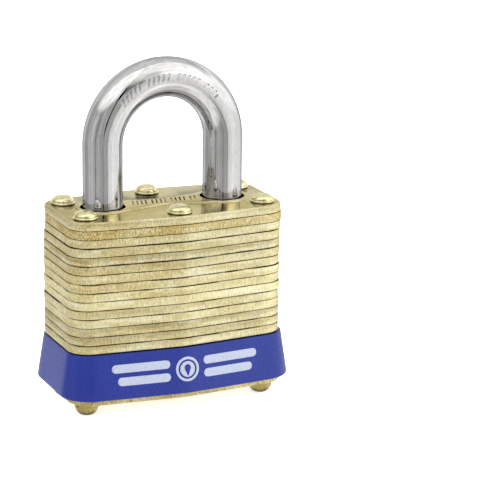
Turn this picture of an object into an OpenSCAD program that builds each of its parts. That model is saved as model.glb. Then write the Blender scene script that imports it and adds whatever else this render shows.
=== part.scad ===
// Laminated pin-tumbler padlock with a sprung shackle, shown closed.
//
// The origin is under the middle of the body, level with the crowns of the bottom rivets.
// +X runs from the toe leg of the shackle to its heel leg, -Y is the front, +Z is up.
//
// The levers are drawn with their tongues drawn back and the pins with their ends at the
// shear line, as they stand while the right key is in the plug, so every piece can move.

/* [Laminations] */
// Thickness of one plate
plate_t = 1.5875; // [1.56:0.0025:1.60]
// Half of the body's width, at the flat end faces
half_width = 20.25; // [20:0.05:20.8]
// Half of the body's depth, at the crease in the middle of the front and back
half_depth = 11.0; // [10.8:0.1:11.4]
// Radius of the four upright corners
corner_r = 4.0; // [3.6:0.1:4.2]
// Distance of the corners' centres in front of and behind the middle
corner_y = 5.6; // [5.4:0.1:5.8]
// Height of the raised pad around the shackle legs on the top plate
pad_h = 0.3; // [0.2:0.05:0.5]

/* [Shackle] */
// Radius of the shackle's bar
bar_r = 3.57; // [3.5:0.01:3.6]
// Distance of each leg from the middle
leg_x = 11.5; // [11.48:0.01:11.6]
// Clear height under the bow, above the top plate
clear_h = 19.25; // [16:0.25:40]
// Radius of the leg holes in the plates
leg_hole_r = 4.05; // [4.03:0.01:4.1]

/* [Rivets] */
// Radius of the rivet shanks
shank_r = 1.5; // [1.3:0.05:1.5]
// Radius of the rivet heads
head_r = 2.25; // [2.0:0.05:2.3]
// Height of the top rivet heads
top_head_h = 1.5; // [1.2:0.1:1.8]
// Height of the bottom rivet heads, which are the feet
foot_h = 2.5; // [2.0:0.1:2.6]
// Distance of the corner rivets from the middle, along the width
corner_rivet_x = 16.9; // [16.7:0.1:17]
// Distance of the corner rivets from the middle, along the depth
corner_rivet_y = 5.8; // [5.6:0.1:5.9]
// Distance of the two short middle rivets from the middle, along the depth
middle_rivet_y = 7.8; // [7.7:0.05:7.9]

/* [Bumper] */
// How far the bumper stands proud of the plates at its top edge
bumper_top_proud = 0.3; // [0.2:0.05:0.5]
// How far it stands proud at its widest
bumper_proud = 1.5; // [1.2:0.05:1.6]
// How far its lower lip reaches down around the bottom plate
bumper_lip = 0.45; // [0.3:0.05:0.6]
// How far the plates behind the bumper are set in
bumper_seat = 1.0; // [0.9:0.05:1.1]

/* [Lock cylinder] */
// Radius of the plug
plug_r = 4.4; // [4.35:0.01:4.41]
// Radius of the housing's bore
plug_bore_r = 4.45; // [4.45:0.01:4.47]
// Outer radius of the housing
housing_r = 6.35; // [6.3:0.01:6.36]
// Radius of the pins
pin_r = 1.4; // [1.35:0.01:1.41]
// Distance between neighbouring pins
pin_pitch = 3.96; // [3.9:0.01:4.0]

/* [Levers] */
// How far each lever's tongue moves out to lock
lever_travel = 1.8; // [1.7:0.05:1.8]

/* [Hidden] */
plate_count = 21;            // plate 1 is the top plate, plate 21 the bottom plate
seat_plates = [16:20];       // the plates behind the bumper
pocket_plates = [4:5];       // the plates around the levers
cam_plates = [6:7];          // the plates around the cam's disc and the clip
first_cylinder_plate = 8;    // the first plate around the lock cylinder
last_toe_plate = 7;          // the last plate that the toe leg reaches into

function plate_z(k) = foot_h + (plate_count - k) * plate_t;  // bottom face of plate k
body_top = plate_z(1) + plate_t;
bottom_plate_top = plate_z(plate_count) + plate_t;

gap = 0.05;                  // running and seating clearance
shank_hole_r = shank_r + 0.1;
round_fn = 64;
arc_steps = 8;

pin_count = 4;
first_pin_z = plate_z(19) + 1.6;
function pin_z(i) = first_pin_z + (i - 1) * pin_pitch;
// Each pin's drop from the shear line when no key is in the plug
pin_drop = [1.2, 1.8, 1.0, 1.5];
key_pin_top = 4.15;
key_pin_stop = -0.3;         // where the key pins' tips come to rest without a key
driver_y = 4.46;
driver_len = 2.4;
tower_half = 2.75;
tower_y = 9.0;
cover_t = 0.45;
keyway_half = 1.0;
keyway_top = 2.2;

arc_r = leg_x;
arc_z = body_top + clear_h + bar_r - arc_r;
pocket_low = plate_z(5);
pocket_high = plate_z(4) + plate_t;
lever_t = pocket_high - pocket_low - 0.2;
lever_z = pocket_low + 0.1;
notch_low = lever_z - 0.35;
notch_high = lever_z + lever_t + 0.35;
toe_tip_z = plate_z(7) + 0.9;
heel_end_z = 12;
collar_h = 3.3;
neck_r = 2.2;
neck_h = 4.2;
neck_low = heel_end_z + collar_h;
toe_notch_x = 9.8;           // what is left of the toe leg at the notch lies beyond this
heel_notch_x = 10.5;
heel_flat_x = 8.8;

tongue_tip = 7.7;            // drawn back
heel_tongue_extra = 0.8;     // the heel leg's flat lies this much further out
tongue_half = 2.5;
block_inner = 5.7;
arm_low = 3.5;
arm_high = 5.8;
hook_outer = 5.4;
hook_inner = 3.4;
hook_reach = 1.0;
lever_spring_end = 9.2;
cam_long = 3.2;
cam_half = 1.5;

bumper_low = bottom_plate_top - bumper_lip;
bumper_high = plate_z(15) - 0.02;
bumper_h = bumper_high - bumper_low;

PLATES = [for (k = [1:plate_count]) plate_name(k)];
PINS = [for (i = [1:pin_count]) for (n = ["key_pin_", "driver_pin_", "pin_spring_"]) str(n, i)];

function plate_name(k) =
    k == 1 ? "top_plate"
    : k == plate_count ? "bottom_plate"
    : str("lamination_", k < 10 ? "0" : "", k);

// ---------------------------------------------------------------------------- outlines

// Tilt of the front and back faces, which run from the middle crease to tangent corners
corner_x = half_width - corner_r;
function face_tilt() =
    let (dy = half_depth - corner_y)
    acos(corner_r / sqrt(corner_x * corner_x + dy * dy)) - atan2(corner_x, dy);

// One quarter of the body's outline, grown outwards by d: a corner arc, then the crease
function quarter(d) =
    let (top = 90 - face_tilt())
    concat(
        [for (s = [0:arc_steps])
            let (a = top * s / arc_steps)
            [corner_x + (corner_r + d) * cos(a), corner_y + (corner_r + d) * sin(a)]],
        [[0, half_depth + d / cos(face_tilt())]]);

function reversed(v) = [for (i = [len(v) - 1:-1:0]) v[i]];
function flipped(v, sx, sy) = [for (p = v) [p[0] * sx, p[1] * sy]];

// The closed outline: four mirrored quarters, each crease point used once
function outline(d) =
    let (q = quarter(d), n = len(q), arcs = [for (i = [0:n - 2]) q[i]])
    concat(q, reversed(flipped(arcs, -1, 1)), flipped(q, -1, -1), reversed(flipped(arcs, 1, -1)));

// ---------------------------------------------------------------------------- helpers

module at_corner_rivets() {
    for (sx = [-1, 1]) for (sy = [-1, 1])
        translate([sx * corner_rivet_x, sy * corner_rivet_y, 0]) children();
}

module at_middle_rivets() { for (s = [-1, 1]) translate([0, s * middle_rivet_y, 0]) children(); }

// A box between two corners
module block(low, high) { translate(low) cube(high - low); }

// A cylinder between two heights
module rod(r, z0, z1) { translate([0, 0, z0]) cylinder(r = r, h = z1 - z0, $fn = round_fn); }

// A cylinder along +Y between two depths
module cross_rod(r, y0, y1) {
    translate([0, y0, 0]) rotate([-90, 0, 0]) cylinder(r = r, h = y1 - y0, $fn = round_fn);
}

// A rivet head standing on z = 0: a short straight rim, then a dome up to a small flat
module rivet_head(r, h, flat_r) {
    rim = 0.3;
    steps = 7;
    rotate_extrude($fn = round_fn)
        polygon(concat(
            [[0, 0], [r, 0]],
            [for (s = [0:steps])
                let (t = s / steps)
                [flat_r + (r - flat_r) * cos(90 * t), rim + (h - rim) * sin(90 * t)]],
            [[0, h]]));
}

// A helical spring of round wire on the Z axis, from z0 to z1, as one closed sweep
module coil_spring(outer_r, wire_r, z0, z1, turns, per_turn = 10, sides = 6) {
    rings = turns * per_turn;
    mean_r = outer_r - wire_r;
    rise = (z1 - z0 - 2 * wire_r) / rings;
    points = [for (i = [0:rings]) for (j = [0:sides - 1])
        let (a = 360 * i / per_turn, b = 360 * j / sides, r = mean_r + wire_r * cos(b))
        [r * cos(a), r * sin(a), z0 + wire_r + rise * i + wire_r * sin(b)]];
    skin = [for (i = [0:rings - 1]) for (j = [0:sides - 1])
        let (k = (j + 1) % sides)
        [i * sides + j, i * sides + k, (i + 1) * sides + k, (i + 1) * sides + j]];
    ends = [reversed([for (j = [0:sides - 1]) j]), [for (j = [0:sides - 1]) rings * sides + j]];
    polyhedron(points, concat(skin, ends), convexity = 10);
}

// ---------------------------------------------------------------------------- plates

// Everything that plate k is punched with
module plate_holes(k) {
    z0 = plate_z(k) - 1;
    z1 = plate_z(k) + plate_t + 1;
    at_corner_rivets() rod(shank_hole_r, z0, z1);
    if (k <= last_toe_plate) at_middle_rivets() rod(shank_hole_r, z0, z1);
    if (k <= last_toe_plate) translate([-leg_x, 0, 0]) rod(leg_hole_r, z0, z1);
    if (k < plate_count) translate([leg_x, 0, 0]) rod(leg_hole_r, z0, z1);
    if (k >= pocket_plates[0] && k <= pocket_plates[2]) lever_pocket(z0, z1);
    if (k == cam_plates[0]) rod(cam_disc_r + 0.3, z0, z1);
    if (k == cam_plates[2]) rod(clip_r + 0.4, z0, z1);
    if (k >= first_cylinder_plate && k < plate_count) cylinder_seat(z0, z1);
    if (k == plate_count) rod(plug_r + 0.2, z0, z1);
}

// Room for both levers, their springs and the cam, the same after half a turn
module lever_pocket(z0, z1) {
    c = 0.2;
    reach = tongue_tip + lever_travel + c;
    for (turn = [0, 180]) rotate([0, 0, turn]) {
        extra = turn == 0 ? 0 : heel_tongue_extra;
        block([-block_inner, -arm_high - c, z0], [block_inner, 0.1, z1]);
        block([-reach - extra, -arm_high - c, z0], [-block_inner + 0.3, tongue_half + c, z1]);
        block([block_inner - 0.1, -arm_high - 0.1, z0], [lever_spring_end + gap, -arm_low + gap, z1]);
    }
}

// The stepped hole that holds the lock cylinder against turning
module cylinder_seat(z0, z1) {
    rod(housing_r + gap, z0, z1);
    block([-tower_half - gap, 0, z0], [tower_half + gap, tower_y + cover_t + gap, z1]);
}

module plate(k) {
    inset = k >= seat_plates[0] && k <= seat_plates[2] ? bumper_seat : 0;
    color(k == 2 ? "#c9ab62" : "#d6cb8c")
    difference() {
        union() {
            translate([0, 0, plate_z(k)]) linear_extrude(plate_t) polygon(outline(-inset));
            if (k == 1) raised_pad();
        }
        plate_holes(k);
    }
}

// The raised pad on the top plate: a collar around each leg, joined by a waisted neck
module raised_pad() {
    collar_r = 4.8;
    waist_half = 2.1;
    waist_x = 3;
    flare = 65;              // direction from each leg in which the neck runs into its collar
    flare_x = leg_x - 0.9 * collar_r * cos(flare);
    flare_y = 0.9 * collar_r * sin(flare);
    corners = [[waist_x, waist_half], [flare_x, flare_y]];
    half = concat(corners, reversed(flipped(corners, 1, -1)));
    translate([0, 0, body_top - 0.1]) linear_extrude(pad_h + 0.1) union() {
        for (s = [-1, 1]) translate([s * leg_x, 0]) circle(r = collar_r, $fn = round_fn);
        polygon(concat(half, flipped(half, -1, -1)));
    }
}

// ---------------------------------------------------------------------------- fasteners

// Four rivets through the whole stack, one in each corner
module corner_rivets() {
    color("#d9c46a")
    at_corner_rivets() {
        translate([0, 0, body_top]) rivet_head(head_r, top_head_h, 0.4);
        translate([0, 0, foot_h]) mirror([0, 0, 1]) rivet_head(head_r, foot_h, 1.0);
        rod(shank_r, foot_h, body_top);
    }
}

// Two short rivets through the upper plates, their tails flush with plate 7
module middle_rivets() {
    color("#d9c46a")
    at_middle_rivets() {
        translate([0, 0, body_top]) rivet_head(head_r, top_head_h, 0.4);
        rod(shank_r, plate_z(last_toe_plate), body_top);
    }
}

// ---------------------------------------------------------------------------- bumper

// How far the bumper stands proud at a share t of its height, 0 at the bottom:
// a lower edge with a small radius, then a straight taper
function proud(t) =
    let (low = 0.07, lip_proud = 1.15)
    t < low
        ? lip_proud + (bumper_proud - lip_proud) * sin(90 * t / low)
        : bumper_proud + (bumper_top_proud - bumper_proud) * (t - low) / (1 - low);

// A band around the lower plates: a stack of outlines joined by side walls. It fills the
// step where those plates are set in, and its lip hides the bottom plate's upper edge
module bumper() {
    levels = [0, 0.015, 0.04, 0.07, 0.5, 0.97, 1];
    outer = [for (t = levels) for (p = outline(proud(t) - (t == 1 ? 0.15 : 0)))
        [p[0], p[1], bumper_low + bumper_h * t]];
    n = len(outline(0));
    last = (len(levels) - 1) * n;
    sides = [for (i = [0:len(levels) - 2]) for (j = [0:n - 1])
        let (k = (j + 1) % n)
        [i * n + j, (i + 1) * n + j, (i + 1) * n + k, i * n + k]];
    caps = [[for (j = [0:n - 1]) j], reversed([for (j = [0:n - 1]) last + j])];
    color("#3346a8")
    difference() {
        polyhedron(outer, concat(sides, caps), convexity = 4);
        translate([0, 0, bumper_low - 1])
            linear_extrude(bumper_h + 2) polygon(outline(gap - bumper_seat));
        translate([0, 0, bumper_low - 1])
            linear_extrude(1 + bumper_lip + 0.02) polygon(outline(gap));
    }
}

// ---------------------------------------------------------------------------- shackle

module bow() {
    translate([0, 0, arc_z]) rotate([90, 0, 0])
        rotate_extrude(angle = 180, $fn = round_fn)
            translate([arc_r, 0]) circle(r = bar_r, $fn = round_fn);
}

// The toe leg ends in a cone and has one notch for the toe lever's tongue
module toe_leg() {
    tip_chamfer = 0.9;
    difference() {
        translate([-leg_x, 0, 0]) union() {
            rod(bar_r, toe_tip_z + tip_chamfer, arc_z);
            translate([0, 0, toe_tip_z])
                cylinder(r1 = bar_r - tip_chamfer, r2 = bar_r, h = tip_chamfer, $fn = round_fn);
        }
        block([-toe_notch_x, -bar_r - 1, notch_low], [-leg_x + bar_r + 1, bar_r + 1, notch_high]);
    }
}

// The heel leg has a notch and a long flat for the heel lever's tongue, then a round neck
// in which the shackle turns when it is up, and a collar that stops it coming out
module heel_leg() {
    side = leg_x - bar_r - 1;
    difference() {
        translate([leg_x, 0, 0]) union() {
            rod(bar_r, heel_end_z, neck_low);
            rod(neck_r, neck_low, neck_low + neck_h);
            rod(bar_r, neck_low + neck_h, arc_z);
        }
        block([side, -bar_r - 1, neck_low], [heel_flat_x, bar_r + 1, notch_high]);
        block([side, -bar_r - 1, notch_low], [heel_notch_x, bar_r + 1, notch_high]);
    }
}

module shackle() {
    color("#d4d6da")
    union() {
        bow();
        toe_leg();
        heel_leg();
    }
}

module shackle_spring() {
    color("#9a9ca0")
    translate([leg_x, 0, 0])
        coil_spring(3.1, 0.45, bottom_plate_top + 0.03, heel_end_z - 0.03, 5, 14);
}

// ---------------------------------------------------------------------------- cylinder

housing_low = bottom_plate_top;
housing_high = plate_z(first_cylinder_plate) + plate_t;
flange_r = 5.3;
flange_low = housing_low + 0.06;
flange_h = 1.0;
clip_r = 5.2;
clip_t = 0.6;
clip_z = housing_high + 0.05;
groove_r = 3.5;
plug_low = foot_h + 0.2;
plug_high = clip_z + clip_t + 0.35;
tang_depth = 0.8;
tang_half = 0.8;
cam_disc_r = 3.9;
cam_disc_t = 0.9;

module cylinder_housing() {
    color("#cdb878")
    difference() {
        union() {
            rod(housing_r, housing_low, housing_high);
            block([-tower_half, 0, housing_low], [tower_half, tower_y, housing_high]);
        }
        rod(plug_bore_r, housing_low - 1, housing_high + 1);
        rod(flange_r + gap, housing_low - 1, flange_low + flange_h + 0.1);
        for (i = [1:pin_count]) translate([0, 0, pin_z(i)]) cross_rod(pin_r + gap, 3, tower_y + 1);
    }
}

// The keyway's section: a blade slot open at the front, stepped so that only its key fits
module keyway_section() {
    h = keyway_half;
    ward = 0.45;
    polygon([
        [-h, -plug_r - 1], [h, -plug_r - 1], [h, -2.4], [h - ward, -2.0], [h - ward, -1.2],
        [h, -0.8], [h, keyway_top], [-h + ward, keyway_top], [-h + ward, 0.9], [-h, 0.5]
    ]);
}

module cylinder_plug() {
    keyway_high = pin_z(pin_count) + pin_r + 0.6;
    color("#d8c98a")
    difference() {
        union() {
            rod(plug_r, plug_low, clip_z - gap);
            rod(flange_r, flange_low, flange_low + flange_h);
            rod(groove_r, clip_z - gap, clip_z + clip_t + gap);
            rod(plug_r, clip_z + clip_t + gap, plug_high);
        }
        translate([0, 0, plug_low - 1]) linear_extrude(keyway_high - plug_low + 1) keyway_section();
        for (i = [1:pin_count]) translate([0, 0, pin_z(i)])
            cross_rod(pin_r + gap, key_pin_stop - 0.15, plug_r + 1);
        block([-tang_half - gap, -plug_r - 1, plug_high - tang_depth],
              [tang_half + gap, plug_r + 1, plug_high + 1]);
    }
}

// A flat clip in the plug's groove, open on one side so that it slides on
module plug_retainer() {
    color("#8f9296")
    difference() {
        rod(clip_r, clip_z, clip_z + clip_t);
        rod(groove_r + gap, clip_z - 1, clip_z + clip_t + 1);
        block([-groove_r + 0.9, -clip_r - 1, clip_z - 1], [groove_r - 0.9, 0, clip_z + clip_t + 1]);
    }
}

// A disc with a tang in the plug's end below it, and a long cam between the levers above
module locking_cam() {
    disc_z = plug_high + gap;
    cam_top = lever_z + lever_t - 0.1;
    color("#a9a291")
    union() {
        rod(cam_disc_r, disc_z, disc_z + cam_disc_t);
        block([-tang_half, -cam_long, disc_z - tang_depth + 0.1], [tang_half, cam_long, disc_z + 0.1]);
        rod(cam_half, disc_z + cam_disc_t, cam_top);
        translate([0, 0, lever_z]) linear_extrude(cam_top - lever_z) polygon(cam_outline());
    }
}

// A bar with half-round ends, along Y
function cam_outline() =
    let (y = cam_long - cam_half)
    [for (s = [0:2 * arc_steps + 1])
        let (end = s <= arc_steps ? 1 : -1, a = 180 * (s - (end > 0 ? 0 : 1)) / arc_steps)
        [cam_half * cos(a), end * y + cam_half * sin(a)]];

// Bottom pins: a flat top at the shear line and a blunt cone on the key's cuts
module key_pin(i) {
    tip_y = pin_drop[i - 1] + key_pin_stop;
    cone = 0.5;
    color("#c9b56a")
    translate([0, 0, pin_z(i)]) union() {
        cross_rod(pin_r, tip_y + cone, key_pin_top);
        translate([0, tip_y, 0]) rotate([-90, 0, 0])
            cylinder(r1 = pin_r - 0.7, r2 = pin_r, h = cone, $fn = round_fn);
    }
}

module driver_pin(i) {
    color("#c2c4c8")
    translate([0, 0, pin_z(i)]) cross_rod(pin_r, driver_y, driver_y + driver_len);
}

module pin_spring(i) {
    color("#9a9ca0")
    translate([0, 0, pin_z(i)]) rotate([-90, 0, 0])
        coil_spring(1.2, 0.16, driver_y + driver_len + 0.02, tower_y - 0.02, 4, 10, 5);
}

module pin_chamber_cover() {
    color("#b9a35c")
    block([-tower_half, tower_y, housing_low + 0.1],
          [tower_half, tower_y + cover_t, housing_high - 0.1]);
}

// ---------------------------------------------------------------------------- levers

// A lever drawn back: a tongue towards -X, an arm past the cam, and a hook that it pulls
module lever(extra) {
    tip = -tongue_tip - extra;
    translate([0, 0, lever_z]) linear_extrude(lever_t) polygon([
        [tip, -tongue_half], [-block_inner - 0.8, -tongue_half - 0.8],
        [-block_inner - 0.8, -arm_high], [hook_outer, -arm_high],
        [hook_outer, hook_reach], [hook_inner, hook_reach], [hook_inner, -arm_low],
        [-block_inner, -arm_low], [-block_inner, tongue_half], [tip, tongue_half]
    ]);
}

module lever_spring() {
    spring_y = -(arm_low + arm_high) / 2;
    color("#9a9ca0")
    translate([0, spring_y, lever_z + lever_t / 2]) rotate([0, 90, 0])
        coil_spring(1.15, 0.18, hook_outer + 0.03, lever_spring_end - 0.03, 5, 10, 5);
}

module toe_lever() { color("#b8bab2") lever(0); }
module heel_lever() { color("#b8bab2") rotate([0, 0, 180]) lever(heel_tongue_extra); }
module toe_lever_spring() { lever_spring(); }
module heel_lever_spring() { rotate([0, 0, 180]) lever_spring(); }

// ---------------------------------------------------------------------------- nodes

for (k = [1:plate_count]) plate(k);
for (i = [1:pin_count]) {
    key_pin(i);
    driver_pin(i);
    pin_spring(i);
}
shackle();
bumper();
corner_rivets();
middle_rivets();
cylinder_housing();
cylinder_plug();
plug_retainer();
pin_chamber_cover();
locking_cam();
toe_lever();
heel_lever();
toe_lever_spring();
heel_lever_spring();
shackle_spring();
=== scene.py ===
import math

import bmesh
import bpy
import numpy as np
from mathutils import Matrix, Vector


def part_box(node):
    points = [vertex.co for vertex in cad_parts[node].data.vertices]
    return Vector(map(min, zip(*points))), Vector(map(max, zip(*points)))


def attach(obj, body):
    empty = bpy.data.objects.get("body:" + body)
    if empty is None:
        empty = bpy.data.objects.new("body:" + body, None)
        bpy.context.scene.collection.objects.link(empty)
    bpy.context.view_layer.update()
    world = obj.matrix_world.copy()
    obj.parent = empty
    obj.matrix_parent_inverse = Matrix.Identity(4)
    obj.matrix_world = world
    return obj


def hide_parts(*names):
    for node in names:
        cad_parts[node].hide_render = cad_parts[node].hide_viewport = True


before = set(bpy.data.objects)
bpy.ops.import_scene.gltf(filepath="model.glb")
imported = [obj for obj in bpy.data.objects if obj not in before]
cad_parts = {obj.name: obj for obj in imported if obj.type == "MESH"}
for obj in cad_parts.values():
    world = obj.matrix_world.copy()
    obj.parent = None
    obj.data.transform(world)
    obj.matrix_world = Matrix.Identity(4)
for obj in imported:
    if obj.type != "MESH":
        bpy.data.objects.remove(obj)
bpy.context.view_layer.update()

# Laminated brass padlock with a chromed shackle and a blue moulded bumper.
#
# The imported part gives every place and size; this script adds the finishes, rounds and
# edges of the pieces that show. Sizes below are in millimetres, and make_piece() turns
# them into metres. -Y is the front, +X the heel leg of the shackle, +Z is up.

MM = 0.001
TAU = 2 * math.pi

# ------------------------------------------------------------------ sizes from the frame


def box_mm(node):
    """Lowest and highest corner of a CAD node, in millimetres."""
    low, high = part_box(node)
    return np.array(low) / MM, np.array(high) / MM


PLATES = ["top_plate", *[f"lamination_{k:02d}" for k in range(2, 21)], "bottom_plate"]
PLATE_LOW = {name: box_mm(name)[0][2] for name in PLATES}
PLATE_T = PLATE_LOW["lamination_02"] - PLATE_LOW["lamination_03"]
BODY_TOP = box_mm("lamination_02")[1][2] + PLATE_T
PAD_TOP = box_mm("top_plate")[1][2]
HALF_WIDTH, HALF_DEPTH = box_mm("lamination_02")[1][:2]
CORNER_R = 4.0
CORNER_Y = 5.6                 # half of the flat end
CORNER_X = HALF_WIDTH - CORNER_R
CREASE_SOFT = 0.6              # how far from the middle the crease is softened
FACE_RISE = HALF_DEPTH - CORNER_Y
FACE_TILT = math.acos(CORNER_R / math.hypot(CORNER_X, FACE_RISE)) - math.atan2(CORNER_X, FACE_RISE)
SEAT_INSET = HALF_WIDTH - box_mm("lamination_18")[1][0]

BUMPER_LOW, BUMPER_HIGH = box_mm("bumper")[0][2], box_mm("bumper")[1][2]
BUMPER_PROUD = box_mm("bumper")[1][0] - HALF_WIDTH
BOTTOM_PLATE_TOP = PLATE_LOW["bottom_plate"] + PLATE_T

SHACKLE_LOW, SHACKLE_HIGH = box_mm("shackle")
BAR_R = SHACKLE_HIGH[1]
LEG_X = SHACKLE_HIGH[0] - BAR_R
ARC_Z = SHACKLE_HIGH[2] - BAR_R - LEG_X
HEEL_END = SHACKLE_LOW[2]

HEAD_TOP = box_mm("corner_rivets")[1][2] - 0.1
HEAD_R = box_mm("middle_rivets")[1][0]
CORNER_RIVET_X, CORNER_RIVET_Y = box_mm("corner_rivets")[1][:2] - HEAD_R
MIDDLE_RIVET_Y = box_mm("middle_rivets")[1][1] - HEAD_R
FOOT_H = PLATE_LOW["bottom_plate"]

# ------------------------------------------------------------------ meshes


def ring_quads(rows, columns, start=0, closed_rows=False):
    """Quads of a grid of rows of points, each row closed on itself, whose first point has the
    number start. With closed_rows the last row joins the first."""
    row = np.arange(rows if closed_rows else rows - 1)[:, None]
    column = np.arange(columns)[None, :]
    below = row * columns
    above = (row + 1) % rows * columns
    beside = (column + 1) % columns
    quads = np.stack([below + column, below + beside, above + beside, above + column], -1)
    return quads.reshape(-1, 4) + start


def skin(rings):
    """Points, quads and triangles of a closed skin over rings of shape (rows, columns, 3):
    the rings are joined in order, and each end is closed by a fan to its middle."""
    rows, columns, _ = rings.shape
    points = np.concatenate([rings.reshape(-1, 3), [rings[0].mean(0), rings[-1].mean(0)]])
    column = np.arange(columns)
    beside = (column + 1) % columns
    last = (rows - 1) * columns
    first_fan = np.stack([beside, column, np.full(columns, rows * columns)], -1)
    last_fan = np.stack([last + column, last + beside, np.full(columns, rows * columns + 1)], -1)
    return points, ring_quads(rows, columns), np.concatenate([first_fan, last_fan])


def make_piece(name, shell, finish, body, stands_for, sharp=34, marks=None, face_finish=None):
    """Makes a Blender object of a closed shell in millimetres, with its faces outward, its
    edges sharp where they turn more than sharp degrees, and its float attributes marks.
    face_finish gives each face's number in a list of finishes, quads first."""
    points, quads, triangles = shell
    mesh = bpy.data.meshes.new(name)
    mesh.from_pydata((points * MM).tolist(), [], quads.tolist() + triangles.tolist())
    work = bmesh.new()
    work.from_mesh(mesh)
    bmesh.ops.recalc_face_normals(work, faces=work.faces[:])
    work.to_mesh(mesh)
    work.free()
    mesh.shade_smooth()
    mesh.set_sharp_from_angle(angle=math.radians(sharp))
    for one in finish if isinstance(finish, list) else [finish]:
        mesh.materials.append(one)
    if face_finish is not None:
        mesh.polygons.foreach_set("material_index", np.asarray(face_finish, np.int32))
    for mark, values in (marks or {}).items():
        attribute = mesh.attributes.new(mark, "FLOAT", "POINT")
        attribute.data.foreach_set("value", np.asarray(values, np.float32))
    piece = bpy.data.objects.new(name, mesh)
    bpy.context.scene.collection.objects.link(piece)
    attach(piece, body)
    if stands_for:
        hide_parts(*stands_for)
    return piece


def smooth_step(t):
    """0 below 0, 1 above 1, and 3t^2 - 2t^3 between."""
    t = np.clip(t, 0, 1)
    return t * t * (3 - 2 * t)


def arc(centre, radius, start, end, steps):
    """Points on a circular arc from one angle to another, in degrees."""
    a = np.radians(np.linspace(start, end, steps + 1))
    return np.stack([centre[0] + radius * np.cos(a), centre[1] + radius * np.sin(a)], -1)


def mirrored(quarter):
    """A quarter of a closed loop, from the x axis round to the y axis, and its three mirror
    images, as one counter-clockwise run."""
    half = np.concatenate([quarter, (quarter * [-1, 1])[-2::-1]])
    return np.concatenate([half, (half * [1, -1])[-2:0:-1]])


# ------------------------------------------------------------------ the body's outline

ARC_POINTS = 14
FACE_POINTS = 14
END_POINTS = 8


def body_loop():
    """The body's outline as points and outward normals, counter-clockwise from the middle
    of the right end. A quarter is half of the flat end, a corner arc, and a face whose depth
    falls off from the crease as the square root of x^2 + soft^2 times the tilt's tangent."""
    end_y = np.linspace(0, CORNER_Y, END_POINTS // 2 + 1)[:-1]
    end = np.stack([np.full(len(end_y), HALF_WIDTH), end_y], -1)
    end_normal = np.broadcast_to([1.0, 0.0], end.shape)
    turn = np.linspace(0, math.pi / 2 - FACE_TILT, ARC_POINTS)
    corner_normal = np.stack([np.cos(turn), np.sin(turn)], -1)
    corner = np.array([CORNER_X, CORNER_Y]) + CORNER_R * corner_normal
    share = np.linspace(0, 1, FACE_POINTS + 1)[1:]
    x = corner[-1, 0] * (1 - share) ** 1.3
    soft = np.sqrt(x * x + CREASE_SOFT**2)
    face = np.stack([x, HALF_DEPTH - soft * math.tan(FACE_TILT)], -1)
    slope = x / soft * math.tan(FACE_TILT)
    face_normal = np.stack([slope, np.ones(len(x))], -1)
    face_normal = face_normal / np.linalg.norm(face_normal, axis=1)[:, None]
    normal = np.concatenate([end_normal, corner_normal, face_normal])
    return mirrored(np.concatenate([end, corner, face])), mirrored(normal)


LOOP, LOOP_NORMAL = body_loop()


def wall_rings(profile, shift=(0, 0), wave=0.0, phase=0.0):
    """Rings of the body's outline carried up a profile of (outset, height). The whole
    outline may be shifted, and waved in and out by a slow sine along the loop."""
    turn = np.linspace(0, TAU, len(LOOP), endpoint=False)
    ripple = wave * (np.sin(5 * turn + phase) + 0.6 * np.sin(11 * turn + 2.3 * phase))
    outset = profile[:, 0][:, None] + ripple[None, :]
    plan = LOOP[None] + outset[..., None] * LOOP_NORMAL[None] + np.array(shift)
    height = np.broadcast_to(profile[:, 1][:, None], outset.shape)
    return np.concatenate([plan, height[..., None]], -1)


# ------------------------------------------------------------------ plates

# How dark and wide the joint under each plate shows, from the top plate down; the dark is oxide and
# painted shade
JOINT_DARK = [0.40, 0.35, 0.85, 0.35, 1.0, 0.55, 0.85, 0.80, 0.55, 0.65,
              0.55, 0.35, 0.60, 0.65, 0.2, 0.5, 0.5, 0.5, 0.5, 0.5, 0.0]
# The share of each joint's groove that lies in the plate above it
JOINT_ABOVE = [0.8, 0.8, 0.75, 0.7, 0.7, 0.6, 0.35, 0.25, 0.2, 0.2,
               0.2, 0.2, 0.2, 0.2, 0.5, 0.5, 0.5, 0.5, 0.5, 0.5, 0.0]
# How warm each plate's brass is, 0 pale to 1 orange
PLATE_WARM = [0.12, 0.62, 0.15, 0.20, 0.25, 0.18, 0.15, 0.15, 0.10, 0.08,
              0.15, 0.15, 0.30, 0.25, 0.22, 0.3, 0.3, 0.3, 0.3, 0.3, 0.75]
# How bright each plate's edge is
PLATE_TONE = [0.97, 0.90, 0.95, 0.96, 0.95, 0.96, 0.99, 1.02, 1.07, 1.10,
              1.00, 1.03, 0.96, 0.95, 1.02, 1, 1, 1, 1, 1, 0.90]
# How much duller the upper part of each edge is, above the line where the strip tore
PLATE_BAND = [0.14, 0.0, 0.0, 0.05, 0.20, 0.06, -0.02, -0.03, -0.04, -0.04,
              0.04, -0.04, 0.20, 0.16, 0.12, 0, 0, 0, 0, 0, 0.1]
# How far each plate's outline sits out of line, along the width and the depth
PLATE_SLIP_X = [0.0, 0.10, 0.06, -0.10, -0.20, -0.14, -0.22, -0.15, -0.21, -0.12, -0.24,
                -0.16, -0.20, -0.13, -0.18, 0, 0, 0, 0, 0, 0]
PLATE_SLIP_Y = [0.0, -0.03, 0.04, 0.02, -0.03, 0.04, 0.0, -0.04, 0.03, -0.02, 0.04,
                0.0, -0.03, 0.03, -0.02, 0, 0, 0, 0, 0, 0]
RELIEF = 0.07                  # the gap left between two plates
ROLL, NIP = 0.07, 0.05         # the rounds of a plate's lower and upper edges
OPEN_JOINT = 0.34              # what the darkest joint adds to them, and the top plate's nip
SEAM_FADE = np.array([1, 1, 0.9, 0.6, 0.2, 0])      # the joint mark of oxide and painted shade, from a joint outwards
UPPER_PLATES = 9               # how many plates from the top are warmer on the toe half


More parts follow.
